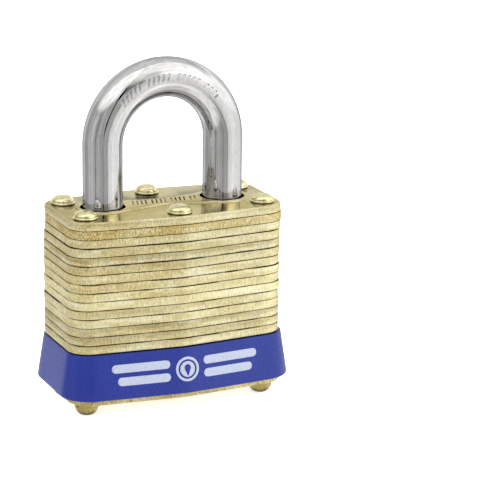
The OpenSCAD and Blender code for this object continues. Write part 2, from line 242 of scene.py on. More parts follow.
def loop_edges(count, start):
    """Edges that close a run of count points starting at start."""
    i = np.arange(count)
    return np.stack([i, (i + 1) % count], -1) + start


def cad_holes(node):
    """The holes in a CAD plate's underside, as their points in the plane and the edges that
    join them: the edges of its flat bottom faces that no second face there shares, less the
    ones on the plate's outer edge."""
    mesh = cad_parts[node].data
    flat = np.empty(len(mesh.vertices) * 3, np.float32)
    mesh.vertices.foreach_get("co", flat)
    corner = np.empty(len(mesh.loops), np.int32)
    mesh.loops.foreach_get("vertex_index", corner)
    points = flat.reshape(-1, 3).astype(float) / MM
    faces = corner.reshape(-1, 3)
    under = np.abs(points[faces][:, :, 2] - points[:, 2].min()).max(1) < 0.001
    places, number = np.unique(points[:, :2].round(4), axis=0, return_inverse=True)
    faces = number.reshape(-1)[faces[under]]
    edges = np.concatenate([faces[:, [0, 1]], faces[:, [1, 2]], faces[:, [2, 0]]])
    code, mirrored = edges @ [len(places), 1], edges @ [1, len(places)]
    edges = edges[~np.isin(code, mirrored)]
    size_x, size_y = np.abs(places[:, 0]), np.abs(places[:, 1])
    inset = HALF_WIDTH - size_x.max()
    from_corner = np.hypot(size_x - CORNER_X, size_y - CORNER_Y)
    face_y = HALF_DEPTH - inset - size_x * math.tan(FACE_TILT)
    outer = (size_x > HALF_WIDTH - inset - 0.01) | (size_y > face_y - 0.05)
    outer |= (size_x > CORNER_X) & (size_y > CORNER_Y) & (from_corner > CORNER_R - inset - 0.1)
    edges = edges[~outer[edges].any(1)]
    kept, edges = np.unique(edges, return_inverse=True)
    return places[kept], edges.reshape(-1, 2)


def fill(points, edges):
    """Triangles that fill a flat region between closed runs of edges."""
    work = bmesh.new()
    outline = bpy.data.meshes.new("fill")
    flat = np.concatenate([points[:, :2], np.zeros((len(points), 1))], 1)
    outline.from_pydata(flat.tolist(), edges.tolist(), [])
    work.from_mesh(outline)
    bmesh.ops.triangle_fill(work, use_beauty=True, edges=work.edges[:], normal=(0, 0, 1))
    work.to_mesh(outline)
    work.free()
    corner = np.empty(len(outline.loops), np.int32)
    outline.loops.foreach_get("vertex_index", corner)
    triangles = corner.reshape(-1, 3)
    bpy.data.meshes.remove(outline)
    return triangles


ROLL_ROWS = 6
NIP_ROWS = 6


def edge_profile(low, high, roll, nip):
    """A plate's edge as (outset, height): a quarter ellipse at the bottom, a straight wall,
    and a quarter round at the top."""
    a = np.radians(np.linspace(0, 90, ROLL_ROWS))
    bottom = np.stack([roll * 0.8 * (np.sin(a) - 1), low + roll * (1 - np.cos(a))], -1)
    wall = np.linspace(low + roll, high - nip, 4)[1:-1]
    middle = np.stack([np.zeros(len(wall)), wall], -1)
    b = np.radians(np.linspace(0, 90, NIP_ROWS))
    top = np.stack([nip * (np.cos(b) - 1), high - nip * (1 - np.sin(b))], -1)
    return np.concatenate([bottom, middle, top])


def plate_shell(profile, holes, edges, low, high, **placing):
    """A plate: an outer wall over the edge profile, a straight wall in every hole, and the
    two flat faces filled between them. The outer wall's points and quads come first."""
    rings = wall_rings(profile, **placing)
    rows, columns, _ = rings.shape
    outer = rows * columns
    count = len(holes)
    under = np.column_stack([holes, np.full(count, low)])
    over = np.column_stack([holes, np.full(count, high)])
    points = np.concatenate([rings.reshape(-1, 3), under, over])
    under_edges, over_edges = edges + outer, edges + outer + count
    hole_quads = np.concatenate([under_edges, over_edges[:, ::-1]], 1)
    quads = np.concatenate([ring_quads(rows, columns), hole_quads])
    bottom_edges = np.concatenate([loop_edges(columns, 0), under_edges])
    top_edges = np.concatenate([loop_edges(columns, outer - columns), over_edges])
    bottom = fill(points, bottom_edges)
    top = fill(points, top_edges)
    return points, quads, np.concatenate([bottom, top])


# ------------------------------------------------------------------ the pad on the top plate

COLLAR_R = 4.8                 # the pad's half round about each leg
WAIST_HALF = 2.0
COLLAR_TURN = 105              # degrees round a collar at which the neck leaves it
NECK_PULL, WAIST_PULL = 9, 5   # how strongly the neck keeps its direction at its two ends
HOLE_EASE = 0.12               # the chamfer round each leg hole
MARK_DEPTH = 0.12

# The pad's edge from its foot up: outset, and share of the pad's height
PAD_EDGE = [(0.12, 0.0), (0.04, 0.08), (0.0, 0.25), (-0.02, 0.6), (-0.08, 0.88), (-0.18, 1.0)]


def pad_loop(grow):
    """The pad's outline, grown by a distance: an arc round each leg, then a cubic from the
    arc's end, along its tangent, to the level waist in the middle."""
    radius = COLLAR_R + grow
    collar = arc((LEG_X, 0), radius, 0, COLLAR_TURN, 26)
    turn = math.radians(COLLAR_TURN)
    start, end = collar[-1], np.array([0.0, WAIST_HALF + grow])
    start_pull = NECK_PULL * np.array([-math.sin(turn), math.cos(turn)])
    end_pull = np.array([-WAIST_PULL, 0.0])
    t = np.linspace(0, 1, 15)[1:, None]
    neck = (
        (2 * t**3 - 3 * t**2 + 1) * start
        + (t**3 - 2 * t**2 + t) * start_pull
        + (3 * t**2 - 2 * t**3) * end
        + (t**3 - t**2) * end_pull
    )
    return mirrored(np.concatenate([collar, neck]))


def top_plate_shell(low, high, profile, holes, edges):
    """The top plate: the plain plate's walls, then the pad's outline carried up its own
    edge profile, a small chamfer round each leg hole, and the short slanted marks stamped
    into the pad between the legs."""
    rings = wall_rings(profile)
    rows, columns, _ = rings.shape
    pad_plan = np.stack([pad_loop(out) for out, _ in PAD_EDGE])
    pad_rows, pad_columns, _ = pad_plan.shape
    pad_z = high + np.array([up for _, up in PAD_EDGE]) * (PAD_TOP - high)
    pad = np.concatenate([pad_plan, np.repeat(pad_z, pad_columns).reshape(pad_rows, -1, 1)], -1)
    leg = np.hypot(np.abs(holes[:, 0]) - LEG_X, holes[:, 1]) < COLLAR_R
    leg_edge = leg[edges].all(1)
    count = len(holes)
    middle = np.column_stack([np.sign(holes[:, 0]) * LEG_X, np.zeros(count)])
    away = holes - middle
    away = away / np.linalg.norm(away, axis=1)[:, None]
    over = np.column_stack([holes, np.where(leg, PAD_TOP - HOLE_EASE, high)])
    lip = np.column_stack([holes + away * HOLE_EASE, np.full(count, PAD_TOP)])[leg]
    under = np.column_stack([holes, np.full(count, low)])
    marks_flat = stamp_marks()
    mark_count = len(marks_flat)
    marks_top = np.column_stack([marks_flat.reshape(-1, 2), np.full(mark_count * 4, PAD_TOP)])
    marks_low = marks_top - [0, 0, MARK_DEPTH]
    parts = [rings.reshape(-1, 3), under, over, lip, pad.reshape(-1, 3), marks_top, marks_low]
    starts = np.cumsum([0, *[len(p) for p in parts]])
    points = np.concatenate(parts)
    under_at, over_at, lip_at, pad_at, marks_at, low_at = starts[1:7]
    under_edges, over_edges = edges + under_at, edges + over_at
    lip_edges = (np.cumsum(leg) - 1)[edges[leg_edge]] + lip_at
    four = np.arange(4)
    mark_edges = np.stack([four, (four + 1) % 4], -1)[None] + 4 * np.arange(mark_count)[:, None, None]
    mark_edges = mark_edges.reshape(-1, 2)
    quads = np.concatenate([
        ring_quads(rows, columns),
        ring_quads(pad_rows, pad_columns, pad_at),
        np.concatenate([under_edges, over_edges[:, ::-1]], 1),
        np.concatenate([over_edges[leg_edge], lip_edges[:, ::-1]], 1),
        np.concatenate([mark_edges + low_at, mark_edges[:, ::-1] + marks_at], 1),
        four[None] + 4 * np.arange(mark_count)[:, None] + low_at,
    ])
    bottom = fill(points, np.concatenate([loop_edges(columns, 0), under_edges]))
    top = fill(points, np.concatenate([
        loop_edges(columns, (rows - 1) * columns),
        loop_edges(pad_columns, pad_at),
        over_edges[~leg_edge]]))
    pad_top = fill(points, np.concatenate([
        loop_edges(pad_columns, pad_at + (pad_rows - 1) * pad_columns),
        lip_edges, mark_edges + marks_at]))
    return points, quads, np.concatenate([bottom, top, pad_top])


def stamp_marks():
    """Corners of the slanted marks between the legs, shape (marks, 4, 2)."""
    x = 0.82 * np.array([-7, -6, -5, -4, -2.5, -1.5, -0.5, 0.5, 2, 3, 4, 5, 6.5, 7.5])
    half_w, half_h, lean = 0.17, 1.35, 0.42
    corner = np.array([[-half_w - lean, -half_h], [half_w - lean, -half_h],
                       [half_w + lean, half_h], [-half_w + lean, half_h]])
    return corner[None] + np.stack([x, np.zeros(len(x))], -1)[:, None]


# ------------------------------------------------------------------ rivets


def revolved(profile, at, sides=64, dent=0.0, phase=0.0):
    """A closed skin from a profile of (radius, height) turned round a vertical line. The
    domes are dented by a slow sine of the angle and the height, as hammered heads are."""
    turn = np.linspace(0, TAU, sides, endpoint=False)[None, :]
    radius, height = profile[:, 0][:, None], profile[:, 1][:, None]
    uneven = dent * np.sin(3 * turn + phase + height) + 0.5 * dent * np.sin(7 * turn + 2 * phase)
    reach = radius * (1 + uneven)
    x = at[0] + reach * np.cos(turn)
    y = at[1] + reach * np.sin(turn)
    return skin(np.stack([x, y, height + 0 * turn], -1))


# A head's rim from its foot up: how far inside the head's radius, and height
HEAD_RIM = np.array([(0.12, 0.02), (0.03, 0.09), (0.0, 0.21), (0.03, 0.3), (0.12, 0.37),
                     (0.22, 0.4)])
SHANK_R = 1.5
HEAD_CROWN, FOOT_CROWN = 0.5, 0.9
FOOT_R = HEAD_R + 0.15
DOME_POINTS = 13


def head_profile(low, high, radius, crown):
    """A rivet head from its rim up: a rounded rim left by the heading tool, a shallow crease
    inside it, then a quarter ellipse that runs into a small flat crown."""
    rim = np.stack([radius - HEAD_RIM[:, 0], low + HEAD_RIM[:, 1]], -1)
    dome_r, base = rim[-1] + [0, 0.02]
    a = np.radians(np.linspace(0, 90, DOME_POINTS + 1))[1:]
    dome = np.stack([crown + (dome_r - crown) * np.cos(a), base + (high - base) * np.sin(a)], -1)
    return np.concatenate([rim, dome, [[crown * 0.5, high]]])


def make_rivets():
    """Four corner rivets with domed feet, and the two short ones in the middle, whose tails
    end flush inside the stack."""
    top = head_profile(BODY_TOP, HEAD_TOP, HEAD_R, HEAD_CROWN)
    foot = head_profile(0, FOOT_H, FOOT_R, FOOT_CROWN)
    foot = np.column_stack([foot[:, 0], FOOT_H - foot[:, 1]])[::-1]
    shank = np.array([[SHANK_R, FOOT_H - 0.02], [SHANK_R, BODY_TOP + 0.02]])
    tail_z = box_mm("middle_rivets")[0][2]
    tail = np.array([[0.6, tail_z], [SHANK_R - 0.15, tail_z], [SHANK_R, tail_z + 0.15], shank[1]])
    for number, (side, sx) in enumerate((("left", -1), ("right", 1))):
        for depth, sy in (("front", -1), ("back", 1)):
            at = (sx * CORNER_RIVET_X, sy * CORNER_RIVET_Y)
            shell = revolved(np.concatenate([foot, shank, top]), at, dent=0.006,
                             phase=2.1 * number + sy)
            # The feet's faces take the darker foot brass, whose colour is painted shade
            wear_and_shade = shell[0][np.concatenate([shell[1][:, 0], shell[2][:, 0]]), 2] < FOOT_H + 0.01
            make_piece(f"rivet_{depth}_{side}", shell, [rivet_brass, foot_shade_brass], "case",
                       ["corner_rivets"], sharp=50, face_finish=wear_and_shade)
    for depth, sy in (("front", -1), ("back", 1)):
        shell = revolved(np.concatenate([tail, top]), (0, sy * MIDDLE_RIVET_Y), dent=0.006, phase=sy)
        make_piece(f"rivet_{depth}_middle", shell, rivet_brass, "case",
                   ["middle_rivets"], sharp=50)


# ------------------------------------------------------------------ bumper

LOW_SHARE = 0.07               # share of its height at which the bumper is widest
TOP_PROUD = 0.3                # how far its top edge stands out from the plates
SEAT_GAP = 0.05
MOULD_LOW, MOULD_HIGH = BUMPER_LOW + 0.05, BUMPER_HIGH - 0.15
LOW_EDGE_R, TOP_EDGE_R = 0.28, 0.22
GRIME_AND_SHADE = 0.12                   # the height over which the lip's painted shade and grime fade


def bumper_face(z):
    """How far the bumper's straight face stands proud of the plates at a height."""
    widest = BUMPER_LOW + LOW_SHARE * (BUMPER_HIGH - BUMPER_LOW)
    share = (z - widest) / (BUMPER_HIGH - widest)
    return BUMPER_PROUD + (TOP_PROUD - BUMPER_PROUD) * np.clip(share, 0, 1)


def bumper_shell():
    """The bumper's section carried round the body's outline: a leaning face between a
    rounded top edge and a rounder bottom edge, and inside it a step over the bottom plate."""
    low_z, top_z = MOULD_LOW + LOW_EDGE_R, MOULD_HIGH - TOP_EDGE_R
    heights = np.linspace(low_z + 0.1, top_z - 0.05, 9)
    face = np.stack([bumper_face(heights), heights], -1)
    low_edge = arc((face[0, 0] - LOW_EDGE_R, low_z), LOW_EDGE_R, -90, 0, 8)
    top_edge = arc((bumper_face(MOULD_HIGH) - TOP_EDGE_R + 0.03, top_z), TOP_EDGE_R, 8, 90, 6)
    step_z = BOTTOM_PLATE_TOP + 0.02
    inner = SEAT_GAP - SEAT_INSET
    inside = np.array([[inner, MOULD_HIGH], [inner, step_z], [SEAT_GAP, step_z],
                       [SEAT_GAP, MOULD_LOW]])
    section = np.concatenate([low_edge, face, top_edge, inside])
    rings = wall_rings(section)
    rows, columns, _ = rings.shape
    return rings.reshape(-1, 3), ring_quads(rows, columns, closed_rows=True), np.empty((0, 3), int)


# ------------------------------------------------------------------ emblem on the bumper

EMBLEM_Z = 8.05
BADGE_R, BADGE_IN, DISC_R = 2.2, 1.75, 1.4
KEYHOLE_R, KEYHOLE_DROP = 0.62, 0.85
BAR_START = 3.2                # from the badge's middle to the bars
BARS = [(8.45, 9.95, 13.9), (6.15, 7.65, 12.9)]     # low, high and far end of each bar
INK_PROUD, INK_SUNK = 0.05, -0.04


def on_bumper(x, z, proud):
    """Points on the bumper's front face at a width and a height, standing proud of it."""
    soft = np.sqrt(x * x + CREASE_SOFT**2)
    y = HALF_DEPTH + bumper_face(z) - soft * math.tan(FACE_TILT) + proud
    return np.stack([x, -y, z], -1)


def inked_shape(outline, inner=None, rows=7):
    """A thin closed solid on the bumper's face. Its front runs from the outline in to its
    middle, or to an inner outline, a little rounded at the edge; its back lies just inside
    the bumper. Outlines are arrays of (x, z)."""
    hole = inner is not None
    centre = inner if hole else np.broadcast_to(outline.mean(0), outline.shape)
    last = 1.0 if hole else 0.97
    share = np.concatenate([[0, 0, 0.01, 0.035], np.linspace(0.1, last - 0.05, rows),
                            [last - 0.02, last]])
    lift = np.full(len(share), INK_PROUD)
    lift[:3] = [INK_SUNK, 0.0, INK_PROUD * 0.7]
    if hole:
        share, lift = np.append(share, 1.0), np.append(lift, INK_SUNK)
    plan = outline[None] + share[:, None, None] * (centre - outline)[None]
    front = on_bumper(plan[..., 0], plan[..., 1], lift[:, None])
    if hole:
        points, (rings, columns, _) = front.reshape(-1, 3), front.shape
        return points, ring_quads(rings, columns, closed_rows=True), np.empty((0, 3), int)
    back_share = np.linspace(last, 0.1, 4)
    back = outline[None] + back_share[:, None, None] * (centre - outline)[None]
    return skin(np.concatenate([on_bumper(back[..., 0], back[..., 1], INK_SUNK), front]))


OUTLINE_TURN = np.linspace(0, TAU, 64, endpoint=False)


def printed_bar(x0, x1, z0, z1):
    """The outline of a bar with half-round ends between two widths and two heights."""
    r = (z1 - z0) / 2
    side = r * np.cos(OUTLINE_TURN)
    x = np.where(side > 0, x1 - r, x0 + r) + side
    return np.stack([x, (z0 + z1) / 2 + r * np.sin(OUTLINE_TURN)], -1)


def keyhole():
    """The outline of a keyhole about the emblem's middle: a circle whose lower part is drawn
    out into a narrower slot."""
    a = OUTLINE_TURN + math.pi / 2
    down = np.clip(-np.sin(a), 0, 1) ** 6
    x = KEYHOLE_R * np.cos(a) * (1 - 0.15 * down)
    z = KEYHOLE_R * np.sin(a) - KEYHOLE_DROP * down + 0.25
    return np.stack([x, z + EMBLEM_Z], -1)


def disc(radius):
    """A circle about the emblem's middle."""
    return arc((0, EMBLEM_Z), radius, 90, 450, 64)[:-1]


def make_emblem():
    """A keyhole badge in the middle of the front with two stacked bars on each side of it."""
    parts = [inked_shape(disc(BADGE_R), disc(BADGE_IN), rows=2),
             inked_shape(disc(DISC_R), keyhole())]
    for sign in (-1, 1):
        for low, high, reach in BARS:
            x0, x1 = sorted((sign * BAR_START, sign * reach))
            parts.append(inked_shape(printed_bar(x0, x1, low, high)))
    for number, part in enumerate(parts):
        make_piece(f"bumper_emblem_{number + 1}", part, silver_print, "case", [])


# ------------------------------------------------------------------ shackle

TOE_TIP = PLATE_LOW["lamination_07"] + 0.9
TIP_H = 0.9                    # the toe's chamfer
NOTCH_LOW = PLATE_LOW["lamination_05"] - 0.25
NOTCH_HIGH = PLATE_LOW["lamination_04"] + PLATE_T + 0.25
NECK_R = 2.2                   # the groove near the heel's end
NECK_LOW = HEEL_END + 3.3
NECK_HIGH = NECK_LOW + 4.2
TOE_NOTCH = LEG_X - 9.8        # from the leg's middle to the notch's flat
HEEL_FLAT = LEG_X - 8.8
HEEL_NOTCH = LEG_X - 10.5
UNCUT = 99.0
CUT = 0.03                     # how much a cut's shoulder leans
BOW_LOW = ARC_Z - 0.1          # where the rows of the legs give way to the bow's

STAMP_FROM, STAMP_TO = 42, 142  # degrees round the bow, 0 at the heel side
STAMP_AROUND = 98              # degrees round the bar, from its inner side to the front
STAMP_DEPTH = 0.18
STROKE_PITCH = 0.95
STROKE_GROUP = 6               # every sixth stroke is left out
STROKE_HALF, STROKE_REACH, STROKE_LEAN = 0.2, 0.6, 0.35
STROKE_EDGE = 0.09


def stamp_height(along, around):
    """How deep the bow is struck at a distance along it and round it, both in millimetres
    from the mark's middle: a row of short leaning strokes in groups of five, whose depth
    falls off at their edges as a smooth step."""
    cell = np.floor(along / STROKE_PITCH)
    within = along - (cell + 0.5) * STROKE_PITCH
    kept = np.mod(cell, STROKE_GROUP) > 0.5
    beside = np.abs(within - STROKE_LEAN * around) - STROKE_HALF
    beyond = np.abs(around) - STROKE_REACH
    inside = smooth_step(0.5 - beside / STROKE_EDGE) * smooth_step(0.5 - beyond / STROKE_EDGE)
    return STAMP_DEPTH * inside * kept


def shackle_shell():
    """The shackle's round bar swept up the toe leg, round the bow and down the heel leg.
    Across the bar, the radius at an angle t from the inner side is the smaller of the bar's
    and the flat's distance divided by cos t. Each row of a leg is its height, its radius and
    the distance of the flat on its inner side."""
    toe = np.array([
        (TOE_TIP, BAR_R - TIP_H - 0.12, UNCUT), (TOE_TIP + 0.08, BAR_R - TIP_H, UNCUT),
        (TOE_TIP + TIP_H, BAR_R - 0.05, UNCUT), (TOE_TIP + TIP_H + 0.25, BAR_R, UNCUT),
        (NOTCH_LOW, BAR_R, UNCUT), (NOTCH_LOW + CUT, BAR_R, TOE_NOTCH),
        (NOTCH_HIGH - CUT, BAR_R, TOE_NOTCH), (NOTCH_HIGH, BAR_R, UNCUT),
        (PAD_TOP, BAR_R, UNCUT), (BOW_LOW, BAR_R, UNCUT),
    ])
    heel = np.array([
        (BOW_LOW, BAR_R, UNCUT), (PAD_TOP, BAR_R, UNCUT),
        (NOTCH_HIGH, BAR_R, UNCUT), (NOTCH_HIGH - CUT, BAR_R, HEEL_NOTCH),
        (NOTCH_LOW + CUT, BAR_R, HEEL_NOTCH), (NOTCH_LOW, BAR_R, HEEL_FLAT),
        (NECK_HIGH + CUT, BAR_R, HEEL_FLAT), (NECK_HIGH, NECK_R, UNCUT),
        (NECK_LOW, NECK_R, UNCUT), (NECK_LOW - CUT, BAR_R, UNCUT),
        (HEEL_END + 0.35, BAR_R, UNCUT), (HEEL_END + 0.1, BAR_R - 0.1, UNCUT),
        (HEEL_END, BAR_R - 0.35, UNCUT),
    ])
    coarse, fine = 2.5, 0.45
    turn = np.concatenate([
        np.arange(180, STAMP_TO, -coarse), np.arange(STAMP_TO, STAMP_FROM, -fine),
        np.arange(STAMP_FROM, -0.1, -coarse),
    ])
    bow = np.column_stack([0 * turn, np.full(len(turn), BAR_R), np.full(len(turn), UNCUT)])
    _, radius, flat = np.concatenate([toe, bow, heel]).T[..., None]
    # The legs stand at either end of the bow, and the bow's middle line is a half circle
    foot_z = np.concatenate([toe[:, 0], np.full(len(turn), ARC_Z), heel[:, 0]])
    turn = np.concatenate([np.full(len(toe), 180), turn, np.zeros(len(heel))])
    a = np.radians(turn)
    out = np.stack([np.cos(a), 0 * a, np.sin(a)], -1)
    middle = LEG_X * out + np.stack([0 * a, 0 * a, foot_z], -1)
    # The strokes are struck on the bow's front
    along = (math.radians(90) - a)[:, None] * (LEG_X + BAR_R * 0.1)
    on_bow = ((turn > STAMP_FROM) & (turn < STAMP_TO))[:, None]
    around = np.radians(np.concatenate([
        np.arange(0, 78, 3.0), np.arange(78, 118, 1.0), np.arange(118, 360, 3.0)]))[None, :]
    reach = np.minimum(radius, flat / np.maximum(np.cos(around), 0.02))
    struck = stamp_height(along, (around - math.radians(STAMP_AROUND)) * BAR_R)
    reach = reach - struck * on_bow
    front = np.array([0.0, -1.0, 0.0])
    return skin(
        middle[:, None]
        - (reach * np.cos(around))[..., None] * out[:, None]
        + (reach * np.sin(around))[..., None] * front
    )


def milled_faces(shell):
    """1 for the faces cut into the legs below the body's top, which miss the plating, and 0
    for the rest: their middles lie nearer to the leg's middle than the bar's radius."""
    points, quads, triangles = shell
    middle = np.concatenate([points[quads].mean(1), points[triangles].mean(1)])
    off = np.hypot(np.abs(middle[:, 0]) - LEG_X, middle[:, 1])
    return (off < BAR_R - 0.12) & (middle[:, 2] < PAD_TOP)


# ------------------------------------------------------------------ springs


def spring_shell(node, axis, wire_r, turns, sides=12, per_turn=28):
    """A coil of round wire that fills a CAD spring's box: a helix whose end turns lie close
    and whose middle turns share the rest of the length."""
    low, high = box_mm(node)
    middle = (low + high) / 2
    across = [i for i in range(3) if i != axis]
    mean_r = (high - low)[across].max() / 2 - wire_r
    share = np.linspace(0, turns, turns * per_turn + 1)
    start, end = low[axis] + wire_r, high[axis] - wire_r
    rise = np.interp(share, [0, 1, turns - 1, turns], [start, start + 2.05 * wire_r,
                                                     end - 2.05 * wire_r, end])
    turn = (TAU * share)[:, None]
    wire = np.linspace(0, TAU, sides, endpoint=False)[None, :]
    reach = mean_r + wire_r * np.cos(wire)
    rings = np.empty((len(share), sides, 3))
    rings[..., across[0]] = middle[across[0]] + reach * np.cos(turn)
    rings[..., across[1]] = middle[across[1]] + reach * np.sin(turn)
    rings[..., axis] = rise[:, None] + wire_r * np.sin(wire)
    return skin(rings)


# ------------------------------------------------------------------ finishes


def linear(colour):
    """An sRGB hex colour as linear RGBA."""
    value = np.array([int(colour[i:i + 2], 16) for i in (1, 3, 5)]) / 255
    value = np.where(value <= 0.04045, value / 12.92, ((value + 0.055) / 1.055) ** 2.4)
    return (*value, 1.0)


def add_node(tree, kind, inputs=None, out=0, stops=(), **settings):
    """Adds one node with its settings and links, and returns one of its outputs. An input's
    value is a constant, or another node's output. stops are a colour ramp's places and hex
    colours, lowest first."""
    made = tree.nodes.new("ShaderNode" + kind)
    for key, value in settings.items():
        setattr(made, key, value)
    for key, value in (inputs or {}).items():
        if isinstance(value, bpy.types.NodeSocket):
            tree.links.new(value, made.inputs[key])
        else:
            made.inputs[key].default_value = value
    for number, (place, colour) in enumerate(stops):
        if number > 1:
            made.color_ramp.elements.new(place)
        made.color_ramp.elements[number].position = place
        made.color_ramp.elements[number].color = linear(colour)
    return made.outputs[out]


def new_finish(name, **constants):
    """A material with one Principled shader, whose constant sockets are set directly."""
    material = bpy.data.materials.new(name)
    material.use_nodes = True
    shader = material.node_tree.nodes["Principled BSDF"]
    for key, value in constants.items():
        shader.inputs[key.replace("_", " ")].default_value = value
    return material, material.node_tree


def finished(material, colour, roughness, normal):
    """Links a finish's colour, roughness and bump to its shader, and returns the finish."""
    shader = material.node_tree.nodes["Principled BSDF"]
    for socket, source in (("Base Color", colour), ("Roughness", roughness), ("Normal", normal)):
        material.node_tree.links.new(source, shader.inputs[socket])
    return material


def grain(tree, lengths, detail, roughness=0.5):
    """Noise over the piece's own coordinates, drawn out to these lengths in millimetres along
    the three axes, or to one length along them all."""
    place = add_node(tree, "TexCoord", out="Object")
    scale = (1 / (np.broadcast_to(lengths, 3) * MM)).tolist()
    place = add_node(tree, "Mapping", {"Vector": place, "Scale": scale})
    return add_node(tree, "TexNoise", {"Vector": place, "Scale": 1.0, "Detail": detail,
                                       "Roughness": roughness})


# Inputs of the Map Range, Mix and Math nodes are named below by their numbers: a range is
# {0: value, 1: from low, 2: from high, 3: to low, 4: to high}, and a colour mix is
# {0: share, 6: first, 7: second} with its colour at output 2.
COLOUR = {"data_type": "RGBA", "out": 2}
TINTED = {**COLOUR, "blend_type": "MULTIPLY"}


def painted_grey_reflection(tree, body):
    """A colour as it is, but grey and darker where a reflection shows it: a painted reflection
    that makes brass look grey, not gold, in the chromed bar."""
    grey = add_node(tree, "RGBToBW", {0: body})
    grey = add_node(tree, "Math", {0: grey, 1: 0.76}, operation="MULTIPLY")
    share = add_node(tree, "LightPath", out="Is Glossy Ray")
    share = add_node(tree, "Math", {0: share, 1: 0.95}, operation="MULTIPLY")
    return add_node(tree, "Mix", {0: share, 6: body, 7: grey}, **COLOUR)


def make_sheared_brass():
    """Cartridge brass, stamped from strip and stacked: the punch leaves fine upright shear
    marks on the edges, handling leaves faint level scratches, and the joints hold dark
    oxide, painted near black as painted shade in the crevices between the plates. It looks
    pale and creamy, duller and browner towards each joint. Shear marks of 0.17 mm are drawn
    coarser than real ones of about 0.05 mm, so that they show."""
    material, tree = new_finish("sheared_cartridge_brass", Metallic=0.88)
    tone, warm, joint_oxide_and_shade, level, band = (
        add_node(tree, "Attribute", out="Fac", attribute_name=name)
        for name in ("tone", "warm", "joint_oxide_and_shade", "level", "band"))
    cloud = grain(tree, (6.5, 6.5, 1.3), 3)
    pale = add_node(tree, "ValToRGB", {0: cloud},
                    stops=[(0.32, "#DDD3A2"), (0.5, "#ECE3B6"), (0.68, "#F7F0CA")])
    gold = add_node(tree, "ValToRGB", {0: cloud},
                    stops=[(0.32, "#DABE70"), (0.5, "#EAD38C"), (0.68, "#F8E9B4")])
    body = add_node(tree, "Mix", {0: warm, 6: pale, 7: gold}, **COLOUR)
    body = add_node(tree, "Mix", {0: 1.0, 6: body, 7: tone}, **TINTED)
    # The upper part of each edge, where the strip tore instead of being cut
    tear = grain(tree, (1.8, 1.8, 0.9), 3)
    tear = add_node(tree, "MapRange", {0: tear, 1: 0.3, 2: 0.7, 3: -0.1, 4: 0.1})
    torn = add_node(tree, "Math", {0: level, 1: tear}, operation="ADD")
    torn = add_node(tree, "MapRange", {0: torn, 1: 0.44, 2: 0.56, 3: 0.0, 4: 1.0})
    torn = add_node(tree, "Math", {0: torn, 1: band}, operation="MULTIPLY")
    kept = add_node(tree, "Math", {0: 1.0, 1: torn}, operation="SUBTRACT")
    body = add_node(tree, "Mix", {0: 1.0, 6: body, 7: kept}, **TINTED)
    # Upright shear marks
    shear = grain(tree, (0.17, 0.17, 0.9), 4, 0.8)
    shade = add_node(tree, "MapRange", {0: shear, 1: 0.32, 2: 0.62, 3: 0.68, 4: 1.13})
    body = add_node(tree, "Mix", {0: 1.0, 6: body, 7: shade}, **TINTED)
    # Coarser drag marks where the punch was dull, on the warm plates
    drag = grain(tree, (0.24, 0.24, 0.5), 3, 0.8)
    drag = add_node(tree, "MapRange", {0: drag, 1: 0.40, 2: 0.52, 3: 0.42, 4: 1.08})
    dragged = add_node(tree, "Mix", {0: 1.0, 6: body, 7: drag}, **TINTED)
    body = add_node(tree, "Mix", {0: warm, 6: body, 7: dragged}, **COLOUR)
    # Level handling scratches
    scratch = grain(tree, (2.6, 2.6, 0.1), 3, 0.7)
    line = add_node(tree, "MapRange", {0: scratch, 1: 0.32, 2: 0.46, 3: 0.72, 4: 1.0})
    body = add_node(tree, "Mix", {0: 1.0, 6: body, 7: line}, **TINTED)
    # Spots of tarnish
    spot = grain(tree, 0.4, 3)
    spot = add_node(tree, "MapRange", {0: spot, 1: 0.66, 2: 0.73, 3: 0.0, 4: 0.55})
    body = add_node(tree, "Mix", {0: spot, 6: body, 7: linear("#7A6431")}, **COLOUR)
    # Oxide and painted shade in the joints, heavier in some lengths than in others
    patch = grain(tree, (4.5, 4.5, 0.9), 4)
    patch = add_node(tree, "MapRange", {0: patch, 1: 0.38, 2: 0.60, 3: 0.2, 4: 1.5})
    dark = add_node(tree, "Math", {0: joint_oxide_and_shade, 1: patch}, operation="MULTIPLY", use_clamp=True)
    body = add_node(tree, "Mix", {0: dark, 6: body, 7: linear("#120C05")}, **COLOUR)
    dull = add_node(tree, "MapRange", {0: shear, 1: 0.3, 2: 0.7, 3: 0.52, 4: 0.36})
    dull = add_node(tree, "Math", {0: dark, 1: 0.3, 2: dull}, operation="MULTIPLY_ADD")
    bump = add_node(tree, "Bump", {"Height": shear, "Distance": 0.03 * MM})
    bump = add_node(tree, "Bump", {"Height": scratch, "Distance": 0.012 * MM, "Normal": bump})
    return finished(material, painted_grey_reflection(tree, body), dull, bump)


def make_polished_brass():
    """The same brass on its rolled faces, buffed after riveting: smoother and greener, with
    fine straight buffing lines across the width and a few spots of tarnish."""
    material, tree = new_finish("buffed_cartridge_brass", Metallic=1.0,
                                Specular_Tint=linear("#FCF8EC"))
    cloud = grain(tree, 5, 3)
    body = add_node(tree, "ValToRGB", {0: cloud},
                    stops=[(0.3, "#BEB06E"), (0.5, "#CFC07F"), (0.7, "#DDD097")])
    buff = grain(tree, (2.8, 0.07, 0.07), 4, 0.7)
    shade = add_node(tree, "MapRange", {0: buff, 1: 0.3, 2: 0.6, 3: 0.80, 4: 1.05})
    body = add_node(tree, "Mix", {0: 1.0, 6: body, 7: shade}, **TINTED)
    spot = grain(tree, 0.3, 4)
    spot = add_node(tree, "MapRange", {0: spot, 1: 0.58, 2: 0.72, 3: 0.0, 4: 0.4})
    body = add_node(tree, "Mix", {0: spot, 6: body, 7: linear("#6F6238")}, **COLOUR)
    dull = add_node(tree, "MapRange", {0: buff, 1: 0.3, 2: 0.7, 3: 0.15, 4: 0.06})
    bump = add_node(tree, "Bump", {"Height": buff, "Distance": 0.002 * MM})
    return finished(material, painted_grey_reflection(tree, body), dull, bump)


